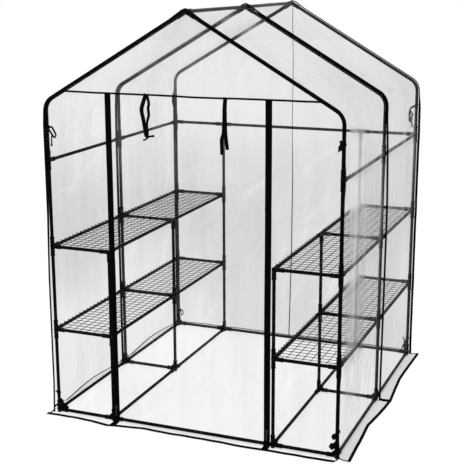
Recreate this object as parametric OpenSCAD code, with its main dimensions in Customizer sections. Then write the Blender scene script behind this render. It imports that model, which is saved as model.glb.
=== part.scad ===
// Walk-in plastic greenhouse: a plugged steel tube frame with eight wire shelves
// under a clear film cover with a zipped door. Millimetres, +Z up, front towards -Y,
// origin on the floor at the centre of the plan.

/* [Overall size] */
// Width over the outer frame tubes
frame_w = 1430; // [1190:5:1720]
// Depth over the outer frame tubes
frame_d = 1430; // [1190:5:1720]
// Height where post line and rafter line cross
eave_h = 1524; // [1400:1:1700]
// Height of the side rails above the floor
rail_h = 1254; // [1050:1:1300]
// Pitch of the roof in degrees
roof_pitch = 30.3; // [24:0.1:38]

/* [Tubes] */
// Outer diameter of every frame tube
tube_d = 16; // [13:0.1:19.5]
// Wall of the steel tube
tube_wall = 0.5; // [0.4:0.1:1.2]
// Centreline radius of the bend at the eaves
bend_r = 70; // [55:1:90]

/* [Connectors] */
// Clearance between a tube and its socket, on the radius
socket_fit = 0.2; // [0.1:0.05:0.4]
// Plastic wall around a socket
socket_wall = 2; // [1.6:0.1:4]
// Extra radius of a connector's round hub over its sockets
hub_swell = 1; // [0.5:0.1:2]
// Extra radius of the rim round a socket mouth
rim_t = 0.8; // [0.4:0.1:1.5]
// Length of the rim round a socket mouth
rim_len = 5; // [2:0.5:10]
// Length of a socket from the middle of its connector
socket_len = 45; // [38:1:55]
// Distance from the middle of a connector to the end of a tube
tube_stop = 12.5; // [12:0.5:16]
// Thickness of the webs in the corners of a foot connector
web_t = 3; // [2:0.5:4]
// Reach of the webs along the sockets of a foot connector
web_len = 36; // [28:1:38]
// Diameter of the foot pad under a foot connector
foot_d = 18; // [12:1:20]
// Height of the hub of a foot connector over the floor
foot_gap = 2.8; // [1:0.1:8]

/* [Shelves] */
// Shelf depth between the lines of its posts
shelf_depth = 301; // [240:1:365]
// Thickness of the shelf wire
wire_d = 2.2; // [1.8:0.1:3]
// Widest spacing of the shelf wires
wire_pitch = 37.5; // [30:0.5:50]
// Distance of the outermost shelf wires from the lines of the posts
wire_margin = 20; // [16:1:30]

/* [Cover] */
// Thickness of the film
film_t = 1; // [0.8:0.1:1.5]
// Distance of the hanging film from the post lines
cover_out = 15; // [14:1:26]
// Inner radius of the film over the eaves
shoulder_r = 100; // [80:1:120]
// Height of the seam above the door
door_h = 1580; // [1540:1:1640]
// Width of the door between the middles of its zips
door_w = 764; // [700:1:860]
// Width of a zip with its tape
zip_w = 30; // [20:1:36]
// How far a zip leans sideways over the ground flap
zip_lean = 16; // [0:1:30]
// Width of the ground flaps
skirt_w = 54; // [40:1:80]
// How far a ground flap draws in at each end of its hem
flap_slant = 10; // [0:1:20]
// Width of the sewn edge tape
tape_w = 12; // [8:0.5:14]
// Width of the seams over the door and down the rear wall
seam_w = 6; // [4:0.5:10]
// Thickness of the sewn tapes
tape_t = 2; // [1.5:0.1:3]

/* [Ties] */
// Width of a door tie strap
strap_w = 16; // [10:0.1:20]
// Distance of the door ties from the middle of the door
door_tie_x = 190; // [150:1:250]
// Length of the left door tie
left_tie_len = 190; // [150:1:260]
// Length of the right door tie
right_tie_len = 240; // [150:1:260]
// How much shorter the second strap of a door tie hangs
strap_step = 15; // [0:1:40]
// Height of the upper corner ties above the side rails
upper_tie_up = 158; // [100:1:180]
// Width of a corner tie
tie_w = 10; // [6:1:14]
// Radius of the loops of a corner tie
loop_r = 12; // [9:1:14]
// Length of the tails of a corner tie
tail_len = 36; // [28:1:45]

/* [Hidden] */

seat = 0.3;                      // gap between pieces that rest on each other
cut = 1;                         // overrun of a cutting shape
round_fn = 48;
bend_fn = 192;                   // a full turn at the radius of a bend

tube_r = tube_d / 2;
socket_r = tube_r + socket_fit + socket_wall;
hub_r = socket_r + hub_swell;
ground_h = hub_r + foot_gap;

// The frame's grid: four columns of posts, three rows and four levels
post_x = frame_w / 2 - tube_r;
inner_x = post_x - shelf_depth;
post_y = frame_d / 2 - tube_r;
level_step = (rail_h - ground_h) / 3;
columns = [-post_x, -inner_x, inner_x, post_x];
rows = [-post_y, 0, post_y];
levels = [ground_h, ground_h + level_step, ground_h + 2 * level_step, rail_h];
ridge_h = eave_h + post_x * tan(roof_pitch);
turn = 90 - roof_pitch;
bend_h = eave_h - bend_r * tan(turn / 2);

up = [0, 0, 1];
down = [0, 0, -1];

// The film's profile, a straight wall, a round shoulder and a straight roof slope
wall_x = post_x + cover_out;
wall_y = post_y + cover_out;
roof_out = hub_r + seat;
shoulder_steps = 10;
shoulder_x = wall_x - shoulder_r;
shoulder_h = ridge_h - shoulder_x * tan(roof_pitch) + (roof_out - shoulder_r) / cos(roof_pitch);
hang_h = film_t + seat;          // lower edge of the hanging film
front_out = wall_y + film_t;

steel = "#1c1d1f";
plastic = "#151617";
wire = "#3a3c3e";
film = [0.86, 0.89, 0.9, 0.35];
tape = "#121212";

// ---- outlines ----

// Points of the round shoulder, raised outwards by o from the film's inner face
function shoulder_points(o) = [
    for (i = [0 : shoulder_steps])
        let (a = turn * i / shoulder_steps)
        [shoulder_x + (shoulder_r + o) * cos(a), shoulder_h + (shoulder_r + o) * sin(a)]
];

function wall_point(o, z) = [wall_x + o, z];
function apex_point(o) = [0, ridge_h + (roof_out + o) / cos(roof_pitch)];
function half_outline(o, z) = concat([wall_point(o, z)], shoulder_points(o), [apex_point(o)]);
function backwards(points) = [for (i = [len(points) - 1 : -1 : 0]) points[i]];
function mirrored(points) = [for (p = points) [-p[0], p[1]]];

// The closed end outline of the cover above height z
module end_outline(o, z) {
    half = half_outline(o, z);
    beside = [for (p = half) if (p[0] > 0) p];
    polygon(concat(half, backwards(mirrored(beside))));
}

// A band between two offsets of one stretch of the profile
module band(inner, outer) polygon(concat(outer, backwards(inner)));

// Extrudes an x-z outline along the depth between y0 and y1
module along_depth(y0, y1)
    translate([0, y1, 0]) rotate([90, 0, 0]) linear_extrude(y1 - y0) children();

module block(low, high) translate(low) cube(high - low);

// ---- tubes ----

module toward(d) rotate([0, acos(d[2] / norm(d)), atan2(d[1], d[0])]) children();

module tube(length) difference() {
    cylinder(r = tube_r, h = length, $fn = round_fn);
    translate([0, 0, -cut])
        cylinder(r = tube_r - tube_wall, h = length + 2 * cut, $fn = round_fn);
}

// A straight tube between the middles of two connectors
module run(a, b) translate(a) toward(b - a) translate([0, 0, tube_stop])
    tube(norm(b - a) - 2 * tube_stop);

// One bent tube from a rail connector up to the ridge connector, on the +X side
module arch_tube(y) {
    bend_x = post_x - bend_r;
    slope_run = (bend_x + bend_r * cos(turn)) / cos(roof_pitch);
    translate([post_x, y, rail_h + tube_stop]) tube(bend_h - rail_h - tube_stop);
    translate([bend_x, y, bend_h]) rotate([90, 0, 0])
        rotate_extrude(angle = turn, $fn = bend_fn) translate([bend_r, 0]) difference() {
            circle(r = tube_r, $fn = round_fn);
            circle(r = tube_r - tube_wall, $fn = round_fn);
        }
    translate([0, y, ridge_h]) toward([cos(roof_pitch), 0, -sin(roof_pitch)])
        translate([0, 0, tube_stop]) tube(slope_run - tube_stop);
}

module arch(y) color(steel) {
    arch_tube(y);
    mirror([1, 0, 0]) arch_tube(y);
}

module front_arch() arch(-post_y);
module middle_arch() arch(0);
module rear_arch() arch(post_y);

module ridge_tubes() color(steel)
    for (j = [0, 1]) run([0, rows[j], ridge_h], [0, rows[j + 1], ridge_h]);

module post(x, y, k) run([x, y, levels[k]], [x, y, levels[k + 1]]);

module outer_posts() color(steel)
    for (x = [-post_x, post_x], y = rows, k = [0 : 2]) post(x, y, k);

module inner_posts() color(steel) for (x = [-inner_x, inner_x]) {
    for (y = rows, k = [0, 1]) post(x, y, k);
    post(x, post_y, 2);
}

module rails_along(z) for (x = columns, j = [0, 1]) run([x, rows[j], z], [x, rows[j + 1], z]);

module bars_across(z) for (i = [0, 2], y = rows) run([columns[i], y, z], [columns[i + 1], y, z]);

module shelf_frame(z) color(steel) {
    rails_along(z);
    bars_across(z);
}

module ground_frame() {
    shelf_frame(levels[0]);
    color(steel) for (y = [-post_y, post_y])
        run([-inner_x, y, levels[0]], [inner_x, y, levels[0]]);
}

module lower_shelf_frame() shelf_frame(levels[1]);
module upper_shelf_frame() shelf_frame(levels[2]);

module side_rails() color(steel) for (x = [-post_x, post_x], j = [0, 1])
    run([x, rows[j], rail_h], [x, rows[j + 1], rail_h]);

module rear_rail() color(steel) for (i = [0 : 2])
    run([columns[i], post_y, rail_h], [columns[i + 1], post_y, rail_h]);

// ---- connectors ----

// A web in the corner between an upright socket and a socket along +X
module web() translate([0, web_t / 2, 0]) rotate([90, 0, 0]) linear_extrude(web_t)
    polygon([[0, 0], [web_len, 0], [0, web_len]]);

// Rimmed sockets along the directions in arms on a round hub, each bored to a stop,
// with webs up from the directions in webbed
module connector(arms, webbed = []) color(plastic) difference() {
    union() {
        sphere(r = hub_r, $fn = round_fn);
        for (d = arms) toward(d) {
            cylinder(r = socket_r, h = socket_len, $fn = round_fn);
            translate([0, 0, socket_len - rim_len])
                cylinder(r = socket_r + rim_t, h = rim_len, $fn = round_fn);
        }
        for (d = webbed) rotate(atan2(d[1], d[0])) web();
    }
    for (d = arms) toward(d) translate([0, 0, tube_stop - seat])
        cylinder(r = tube_r + socket_fit, h = socket_len, $fn = round_fn);
}

// Sockets of the connector in column i and row j
function depth_arms(j) = concat(j > 0 ? [[0, -1, 0]] : [], j < 2 ? [[0, 1, 0]] : []);
function shelf_arms(i) = [[i == 0 || i == 2 ? 1 : -1, 0, 0]];
function aisle_arms(i) = i == 1 ? [[1, 0, 0]] : i == 2 ? [[-1, 0, 0]] : [];
function is_outer(i) = i == 0 || i == 3;

module foot_connectors() for (i = [0 : 3], j = [0 : 2])
    translate([columns[i], rows[j], ground_h]) {
        shelf_side = concat(depth_arms(j), shelf_arms(i));
        aisle_side = j == 1 ? [] : aisle_arms(i);
        connector(concat([up], shelf_side, aisle_side), shelf_side);
        color(plastic) translate([0, 0, -ground_h])
            cylinder(d = foot_d, h = ground_h - socket_r / 2, $fn = round_fn);
    }

module shelf_connectors(k) for (i = [0 : 3], j = [0 : 2])
    translate([columns[i], rows[j], levels[k]])
        connector(concat([down], k == 1 || is_outer(i) || j == 2 ? [up] : [],
            depth_arms(j), shelf_arms(i)));

module lower_connectors() shelf_connectors(1);
module upper_connectors() shelf_connectors(2);

module rail_connectors() {
    for (i = [0, 3], j = [0 : 2]) translate([columns[i], rows[j], rail_h])
        connector(concat([down, up], depth_arms(j), j == 2 ? shelf_arms(i) : []));
    for (i = [1, 2]) translate([columns[i], post_y, rail_h])
        connector(concat([down], shelf_arms(i), aisle_arms(i)));
}

module ridge_connectors() for (j = [0 : 2]) translate([0, rows[j], ridge_h])
    connector(concat([for (s = [-1, 1]) [s * cos(roof_pitch), 0, -sin(roof_pitch)]],
        depth_arms(j)));

// ---- wire shelves ----

// Positions of evenly spaced wires on a span, the outer ones a margin in from its ends
function wire_places(span) =
    let (n = ceil((span - 2 * wire_margin) / wire_pitch))
    [for (k = [0 : n]) wire_margin + k * (span - 2 * wire_margin) / n];

// Whether a wire at this place of a span meets a socket at its ends
function by_socket(place, span) = min(place, span - place) < socket_len + wire_d;
short_end = hub_r + 2 * seat;    // end of a wire beside a socket
over_tube = 3;                   // end of a long wire, on top of the tube
hook_x = tube_r + seat + wire_d; // outside of a hook

// A cross wire over both rails, bent down behind them at each end
module hooked_wire() {
    translate([-hook_x, 0, 0]) cube([shelf_depth + 2 * hook_x, wire_d, wire_d]);
    for (x = [-hook_x, shelf_depth + hook_x - wire_d])
        translate([x, 0, -tube_r]) cube([wire_d, wire_d, tube_r + wire_d]);
}

module short_wire(length) translate([short_end, 0, 0])
    cube([length - 2 * short_end, wire_d, wire_d]);

// A welded grid with one corner over a connector, on the side of +X and +Y
module wire_shelf(i, j, k) color(wire)
    translate([columns[i], rows[j], levels[k] + tube_r + seat]) {
        for (y = wire_places(post_y)) translate([0, y - wire_d / 2, 0])
            if (by_socket(y, post_y)) short_wire(shelf_depth);
            else hooked_wire();
        for (x = wire_places(shelf_depth))
            let (e = by_socket(x, shelf_depth) ? short_end : over_tube)
            translate([x - wire_d / 2, e, 0]) cube([wire_d, post_y - 2 * e, wire_d]);
    }

module lower_left_front_shelf() wire_shelf(0, 0, 1);
module lower_left_rear_shelf() wire_shelf(0, 1, 1);
module lower_right_front_shelf() wire_shelf(2, 0, 1);
module lower_right_rear_shelf() wire_shelf(2, 1, 1);
module upper_left_front_shelf() wire_shelf(0, 0, 2);
module upper_left_rear_shelf() wire_shelf(0, 1, 2);
module upper_right_front_shelf() wire_shelf(2, 0, 2);
module upper_right_rear_shelf() wire_shelf(2, 1, 2);

// ---- film cover ----

module side_film(inner, outer) color(film) along_depth(-wall_y, wall_y) band(inner, outer);

module wall() side_film(
    [wall_point(0, hang_h), shoulder_points(0)[0]],
    [wall_point(film_t, hang_h), shoulder_points(film_t)[0]]);

module roof() side_film(
    [shoulder_points(0)[shoulder_steps], apex_point(0)],
    [shoulder_points(film_t)[shoulder_steps], apex_point(film_t)]);

module right_wall() wall();
module left_wall() mirror([1, 0, 0]) wall();
module right_roof() roof();
module left_roof() mirror([1, 0, 0]) roof();

module shoulders() for (s = [0, 1]) mirror([s, 0, 0])
    side_film(shoulder_points(0), shoulder_points(film_t));

module rear_wall() color(film) along_depth(wall_y, wall_y + film_t) end_outline(film_t, hang_h);

// The part of the front film inside a window of x and z
module front_film(low, high) color(film) along_depth(-front_out, -wall_y) intersection() {
    end_outline(film_t, hang_h);
    translate(low) square(high - low);
}

door_edge = door_w / 2 - seat;
panel_edge = door_w / 2 + seat;
beyond = frame_w;                // past the cover's edge on either side
above = ridge_h + frame_w;       // over the cover's top

module front_gable() front_film([-beyond, door_h + seat], [beyond, above]);
module front_left_panel() front_film([-beyond, 0], [-panel_edge, door_h]);
module front_right_panel() front_film([panel_edge, 0], [beyond, door_h]);
module door_panel() front_film([-door_edge, 0], [door_edge, door_h]);

// ---- zips, seams and edge tapes ----

hem_in = skirt_w - tape_w;       // inner edge of a hem from the foot of its wall
flap_top = film_t + seat;        // what lies on a ground flap starts here

// The end of a zip on the ground flap, from under its foot to the hem
module zip_foot(x) translate([x, -wall_y, flap_top]) linear_extrude(tape_t) {
    near = -film_t - tape_t;
    far = seat - hem_in;
    polygon([
        [-zip_w / 2, near], [zip_w / 2, near],
        [zip_w / 2 - zip_lean, far], [-zip_w / 2 - zip_lean, far]
    ]);
}

module door_zips() color(tape) for (x = [-door_w / 2, door_w / 2]) {
    block([x - zip_w / 2, -front_out - tape_t, flap_top + tape_t],
          [x + zip_w / 2, -front_out, door_h - seam_w / 2 - seat]);
    zip_foot(x);
}

// The seams end under the edge tape: the peak of its inner edge, and half the door seam
binding_in = film_t + tape_t - tape_w;
binding_peak = apex_point(binding_in)[1];
seam_x = (binding_peak - door_h - seam_w / 2) / tan(roof_pitch) - seat;

module door_seam() color(tape)
    block([-seam_x, -front_out - tape_t, door_h - seam_w / 2],
          [seam_x, -front_out, door_h + seam_w / 2]);

// Edge tape around one end of the cover
module end_binding(y0, y1) color(tape) along_depth(y0, y1) difference() {
    end_outline(film_t + tape_t, hang_h);
    end_outline(binding_in, -cut);
}

module front_binding() end_binding(-front_out - tape_t, -front_out);
module rear_binding() end_binding(wall_y + film_t, wall_y + film_t + tape_t);

// The seam over the middle arch, which runs on over the side flaps to their hems
module middle_binding() color(tape) {
    along_depth(-tape_w / 2, tape_w / 2) difference() {
        end_outline(film_t + tape_t, flap_top);
        end_outline(film_t, -cut);
    }
    for (s = [0, 1]) mirror([s, 0, 0])
        block([wall_x + film_t, -seam_w / 2, flap_top],
              [wall_x + hem_in - seat, seam_w / 2, flap_top + tape_t]);
}

module rear_seam() color(tape)
    block([-seam_w / 2, wall_y + film_t, hang_h],
          [seam_w / 2, wall_y + film_t + tape_t, binding_peak - seam_w / 2 * tan(roof_pitch) - seat]);

// ---- ground flaps ----

// A flap on the floor along a wall of half length half, from the wall outwards
module flap(half, width, z0, z1, start) translate([0, 0, z0]) linear_extrude(z1 - z0) {
    near = half - flap_slant * start / width;
    polygon([[-near, start], [near, start], [half - flap_slant, width], [-half + flap_slant, width]]);
}

// Places a flap drawn along +Y on each side of the plan
module around_plan() {
    for (a = [0, 180]) rotate(a) translate([0, wall_y, 0]) children(0);
    for (a = [90, 270]) rotate(a) translate([0, wall_x, 0]) children(1);
}

module skirts() color(film) around_plan() {
    flap(wall_x, skirt_w, 0, film_t, 0);
    flap(wall_y, skirt_w, 0, film_t, 0);
}

module skirt_hems() color(tape) around_plan() {
    flap(wall_x, skirt_w, flap_top, flap_top + tape_t, hem_in);
    flap(wall_y, skirt_w, flap_top, flap_top + tape_t, hem_in);
}

// ---- ties ----

tie_r = tube_r + seat;           // inside of a tie round a post
tie_t = 2;
knot_r = 6;
loop_spread = 50;                // how far each loop of a bow swings out from hanging
tail_spread = 16;                // how far each tail swings out from hanging
tie_clear = 4;                   // tails of a lower tie over the socket under them
bow_turn = -45;                  // turns a bow into the corner of the frame

upper_tie_z = rail_h + upper_tie_up;
lower_tie_z = ground_h + socket_len + tie_clear + tail_len;

// A knot with two loops and two tails, as an outline of the folded tape
module bow_outline() {
    circle(r = knot_r, $fn = round_fn);
    for (side = [-1, 1]) {
        rotate(side * loop_spread) translate([0, -loop_r]) difference() {
            circle(r = loop_r, $fn = round_fn);
            circle(r = loop_r - tie_t, $fn = round_fn);
        }
        rotate(side * tail_spread) translate([-tie_t / 2, -tail_len]) square([tie_t, tail_len]);
    }
}

// A tape tied in a bow round the post of the +X and -Y corner
module corner_tie(z) translate([post_x, -post_y, z]) color(tape) {
    difference() {
        cylinder(r = tie_r + tie_t, h = tie_w, center = true, $fn = round_fn);
        cylinder(r = tie_r, h = 2 * tie_w, center = true, $fn = round_fn);
    }
    rotate(bow_turn) translate([-tie_r - tie_t / 2, 0, 0]) rotate([90, 0, -90])
        linear_extrude(tie_w) bow_outline();
}

module corner_ties() for (m = [0, 1], n = [0, 1], z = [lower_tie_z, upper_tie_z])
    mirror([m, 0, 0]) mirror([0, n, 0]) corner_tie(z);

module strap(x, length) translate([x - strap_w / 2, -tie_t, -length])
    cube([strap_w, tie_t, length]);

tie_y = -front_out - tape_t - seat;
tie_top = door_h + seam_w / 2;
pair_x = strap_w / 2 + seat;     // straps of a pair hang side by side

// Two straps side by side, the second one shorter by strap_step
module door_tie(x, length) color(tape) translate([x, tie_y, tie_top]) {
    strap(-pair_x, length);
    strap(pair_x, length - strap_step);
}

module left_door_tie() door_tie(-door_tie_x, left_tie_len);
module right_door_tie() door_tie(door_tie_x, right_tie_len);

front_arch();
middle_arch();
rear_arch();
ridge_tubes();
outer_posts();
inner_posts();
ground_frame();
lower_shelf_frame();
upper_shelf_frame();
side_rails();
rear_rail();
foot_connectors();
lower_connectors();
upper_connectors();
rail_connectors();
ridge_connectors();
lower_left_front_shelf();
lower_left_rear_shelf();
lower_right_front_shelf();
lower_right_rear_shelf();
upper_left_front_shelf();
upper_left_rear_shelf();
upper_right_front_shelf();
upper_right_rear_shelf();
left_wall();
right_wall();
shoulders();
left_roof();
right_roof();
rear_wall();
front_gable();
front_left_panel();
front_right_panel();
door_panel();
door_zips();
door_seam();
front_binding();
middle_binding();
rear_binding();
rear_seam();
skirts();
skirt_hems();
corner_ties();
left_door_tie();
right_door_tie();
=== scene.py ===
"""Looks of a walk-in film greenhouse, built round its packed steel frame: the clear film cover
with its folds, the sewn tapes, zips and ties, and the finishes of tubes, plugs and shelves."""

import math

import bpy
import numpy as np
from bpy.props import FloatProperty, FloatVectorProperty, IntProperty, PointerProperty
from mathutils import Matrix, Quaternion, Vector


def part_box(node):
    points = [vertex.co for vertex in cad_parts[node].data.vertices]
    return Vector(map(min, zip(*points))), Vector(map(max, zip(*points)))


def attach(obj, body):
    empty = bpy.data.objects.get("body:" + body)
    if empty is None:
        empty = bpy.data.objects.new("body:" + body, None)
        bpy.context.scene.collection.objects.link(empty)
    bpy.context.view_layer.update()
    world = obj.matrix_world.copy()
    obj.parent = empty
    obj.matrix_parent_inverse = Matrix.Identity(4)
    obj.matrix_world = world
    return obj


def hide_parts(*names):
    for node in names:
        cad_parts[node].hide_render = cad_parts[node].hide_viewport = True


bl_info = {
    "name": "Film greenhouse",
    "version": (1, 0, 0),
    "blender": (4, 5, 0),
    "location": "View3D > Sidebar > Greenhouse",
    "description": "Builds the film cover, tapes, zips, ties and finishes of a walk-in greenhouse",
    "category": "Object",
}

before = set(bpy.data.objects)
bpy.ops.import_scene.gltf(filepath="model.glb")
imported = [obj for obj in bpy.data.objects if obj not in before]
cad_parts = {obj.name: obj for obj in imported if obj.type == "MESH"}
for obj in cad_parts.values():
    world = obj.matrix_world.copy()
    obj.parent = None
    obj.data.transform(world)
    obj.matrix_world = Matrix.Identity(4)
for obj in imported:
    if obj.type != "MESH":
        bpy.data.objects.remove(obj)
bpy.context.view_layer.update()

# ---- sizes read from the frame ----


def middle(node, axis):
    """The middle of a node's box along one axis."""
    return sum(corner[axis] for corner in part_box(node)) / 2


wall_low, wall_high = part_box("right_wall")
roof_low, roof_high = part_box("right_roof")
film_gauge = wall_high.x - wall_low.x
hem_z = wall_low.z
gauge_rise = 0.86 * film_gauge   # a slope's film measured upright at its foot
pitch = math.atan2(roof_high.z - roof_low.z - gauge_rise, roof_high.x)
tube_r = 0.008
bend_r = 0.07                    # a tube's middle line round the shoulder
post_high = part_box("outer_posts")[1]
post_x = post_high.x - tube_r
post_y = post_high.y - tube_r
ridge_z = middle("ridge_tubes", 2)
ground_z = middle("ground_frame", 2)
rail_z = middle("side_rails", 2)
rest = tube_r + 0.0006           # film lying on a tube, from the tube's middle
half_depth = post_y + 0.0118     # the end walls' film
depths = (-half_depth, half_depth)
hem_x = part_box("skirts")[1].x
tie_low, tie_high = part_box("corner_ties")
zip_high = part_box("door_zips")[1]
zip_width = 2 * (zip_high.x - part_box("door_panel")[1].x)
zip_x = zip_high.x - zip_width / 2
seam_low, seam_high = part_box("door_seam")
seam_z = middle("door_seam", 2)
seam_width = seam_high.z - seam_low.z

# ---- sewn details: a lift is from the film or the ground to a tape's middle line ----

hem_lift, hem_gauge = 0.0016, 0.003
side_hem = (0.007, 0.0026)       # width and thickness of a hem down a flap's end
flat_width, flat_lift = 0.009, 0.0013    # the half of an edge tape that lies on the cover
flap_lift = 0.0037               # the middle tape over the right flap
seam_lift = 0.0014
door_seam_width = 1.45 * seam_width
zip_lift, zip_gauge = 0.0012, 0.0011
coil_x, coil_width, coil_gauge = 0.0052, 0.0016, 0.0013
tooth = (0.0021, 0.0011, 0.0008)         # half a tooth across, along and off the tape
tie_gauge = 0.0014
knot_depth = 0.0098              # half a corner tie's knot from front to back


# ---- settings a user would change ----


def a_length(name, description, default, high, low=0.0):
    """A size in metres with its range."""
    return FloatProperty(name=name, description=description, default=default, min=low, max=high,
                         unit="LENGTH")


def a_colour(name, description, *default):
    """An opaque colour."""
    return FloatVectorProperty(name=name, description=description, default=(*default, 1),
                               subtype="COLOR", size=4, min=0, max=1)


def an_angle(name, description, degrees):
    """An angle, given in degrees."""
    return FloatProperty(name=name, description=description, default=math.radians(degrees),
                         subtype="ANGLE")


class FilmSettings(bpy.types.PropertyGroup):
    """Sizes and colours of the film"""

    wall_bulge: a_length("Wall bulge", "How far a wall blows out between two arches", 0.009, 0.03)
    roof_sag: a_length("Roof sag", "How far the roof sinks between two arches", 0.007, 0.02)
    rear_bulge: a_length("Rear bulge", "How far the rear wall blows out", 0.026, 0.04)
    fold_height: a_length("Fold height", "Height of the folds left by packing", 0.0024, 0.006)
    tint: a_colour("Tint", "Colour that one layer lets through", 0.9, 0.901, 0.902)
    dense_tint: a_colour("Dense tint", "Colour that the cloudiest film lets through",
                         0.66, 0.662, 0.664)
    haze: FloatProperty(
        name="Haze", description="Share of the light that the film spreads",
        default=0.025, min=0, max=0.5, subtype="FACTOR")


class TapeSettings(bpy.types.PropertyGroup):
    """Sizes and colours of tapes, zips and ties"""

    colour: a_colour("Tape", "Colour of the woven tape", 0.0012, 0.0012, 0.0012)
    thickness: a_length("Tape thickness", "Thickness of a sewn edge tape", 0.0018, 0.003, 0.0005)
    middle_width: a_length("Middle tape width", "Width of the tape over the middle arch",
                           0.02, 0.03, 0.01)
    hem_width: a_length("Hem width", "Width of the tape along the ground flaps",
                        0.014, 0.02, 0.006)
    strap_width: a_length("Strap width", "Width of a door tie", 0.0165, 0.02, 0.008)
    tooth_pitch: a_length("Tooth pitch", "Spacing of the zip teeth", 0.0035, 0.008, 0.002)


class FrameSettings(bpy.types.PropertyGroup):
    """Colours of the frame"""

    tube: a_colour("Tube", "Colour of the powder coat", 0.0018, 0.0018, 0.0019)
    plug: a_colour("Plug", "Colour of the moulded connectors", 0.0014, 0.0014, 0.0015)
    wire: a_colour("Wire", "Colour of the coated shelf wire", 0.004, 0.0041, 0.0043)


class StageSettings(bpy.types.PropertyGroup):
    """Camera, lamps and floor"""

    azimuth: an_angle("Azimuth", "Camera angle round the greenhouse", 21.748)
    elevation: an_angle("Elevation", "Camera angle above the horizon", 13.753)
    roll: an_angle("Roll", "Camera turn about its view", -0.131)
    lens: FloatProperty(
        name="Lens", description="Focal length on a 36 mm sensor", default=81.635, min=20)
    key: FloatProperty(
        name="Key lamp", description="Power of the main lamp", default=150, min=0, unit="POWER")
    fill: FloatProperty(
        name="Fill lamp", description="Power of the side lamp", default=60, min=0, unit="POWER")
    ambient: FloatProperty(
        name="Ambient", description="Strength of the room's light", default=0.55, min=0)
    place: FloatVectorProperty(
        name="Camera place", description="Where the camera stands",
        subtype="XYZ", size=3, default=(1.8720, -4.8758, 2.0900), unit="LENGTH")
    seed: IntProperty(name="Seed", description="Choice of folds and waves", default=7, min=0)


# ---- arrays ----


def smooth(t):
    """Smooth step: 3t² - 2t³ of t kept between 0 and 1."""
    t = np.clip(t, 0, 1)
    return t * t * (3 - 2 * t)


def hump(value, centre, width, power=2):
    """A bell curve: exp(-(d/width)^power) for the distance d from its centre."""
    return np.exp(-((value - centre) / width) ** power)


def waves(u, v, seed, count, longest, shortest):
    """Rolling waves between about -1 and 1: sines in random directions, lengths and phases, each
    scaled with its length, summed and divided by the root of the summed squares."""
    rng = np.random.default_rng(seed)
    total, power = 0.0, 0.0
    for length, turn, phase in zip(
            np.geomspace(longest, shortest, count),
            rng.uniform(0, math.pi, count), rng.uniform(0, 2 * math.pi, count)):
        weight = length / longest
        total = total + weight * np.sin(
            (u * math.cos(turn) + v * math.sin(turn)) * 2 * math.pi / length + phase)
        power += weight * weight
    return total / math.sqrt(2 * power)


def creases(u, v, seed, count, u_range, v_range, lean, spread, length, width):
    """Fold lines between about -1 and 1: each is a line through a random point, turned by lean
    give or take spread and slightly bent. Its height falls off across it as exp(-(d/width)²) and
    along it as exp(-(a/length)²)."""
    rng = np.random.default_rng(seed)
    total = np.zeros(np.broadcast(u, v).shape)
    for _ in range(count):
        cu, cv = rng.uniform(*u_range), rng.uniform(*v_range)
        turn = lean + rng.normal(0, spread)
        far, thin = length * rng.uniform(0.5, 1.4), width * rng.uniform(0.6, 1.6)
        along = (u - cu) * math.cos(turn) + (v - cv) * math.sin(turn)
        across = (v - cv) * math.cos(turn) - (u - cu) * math.sin(turn)
        across = across + rng.uniform(-0.6, 0.6) * along ** 2 / far
        total += rng.choice([-0.6, 1.0]) * np.exp(-(across / thin) ** 2 - (along / far) ** 2)
    return total


def catmull(points, count):
    """A smooth path through points: on each stretch the cubic whose slope at a point is half the
    step between its neighbours, sampled evenly in the stretch number."""
    p = np.asarray(points, float)
    p = np.vstack([2 * p[0] - p[1], p, 2 * p[-1] - p[-2]])
    t = np.linspace(0, len(p) - 3 - 1e-9, count)
    i = t.astype(int)
    f = (t - i)[:, None]
    a, b, c, d = p[i], p[i + 1], p[i + 2], p[i + 3]
    return 0.5 * (2 * b + (c - a) * f + (2 * a - 5 * b + 4 * c - d) * f ** 2
                  + (3 * b - a - 3 * c + d) * f ** 3)


def unit(vectors):
    """Each row over its length."""
    return vectors / np.maximum(np.linalg.norm(vectors, axis=-1, keepdims=True), 1e-12)


def lengths(path):
    """Running length of a path, from 0."""
    return np.concatenate([[0], np.cumsum(np.linalg.norm(np.diff(path, axis=0), axis=1))])


def xyz(x, y, z):
    """Points from their coordinates, which are spread to one shape."""
    return np.stack(np.broadcast_arrays(x, y, z), axis=-1)


def alike(u, v):
    """Two numbers or arrays, as arrays of one shape."""
    return np.broadcast_arrays(np.asarray(u, float), np.asarray(v, float))


def box_wave(share, power):
    """A cosine or sine with its size raised to power and its sign kept, halved."""
    return np.sign(share) * np.abs(share) ** power * 0.5


# ---- meshes ----


def grid(points, wrap=False, caps=False, across=None, along=None):
    """A sheet or tube from an array of points in rows. Each cell is one quad; with wrap the last
    column joins the first, and with caps each end row is closed by one face."""
    rows, columns = points.shape[:2]
    index = np.arange(rows * columns).reshape(rows, columns)
    nxt = np.roll(index, -1, axis=1) if wrap else index[:, 1:]
    low = index if wrap else index[:, :-1]
    quads = np.stack([low[:-1], nxt[:-1], nxt[1:], low[1:]], axis=-1).reshape(-1, 4)
    ends = [index[0, ::-1].tolist(), index[-1].tolist()] if caps else []
    u = np.linspace(0, 1, columns) if across is None else across
    v = np.linspace(0, 1, rows) if along is None else along
    uv = np.stack(np.broadcast_arrays(u[None, :], v[:, None]), axis=-1).reshape(-1, 2)
    return points.reshape(-1, 3), quads, ends, uv


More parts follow.
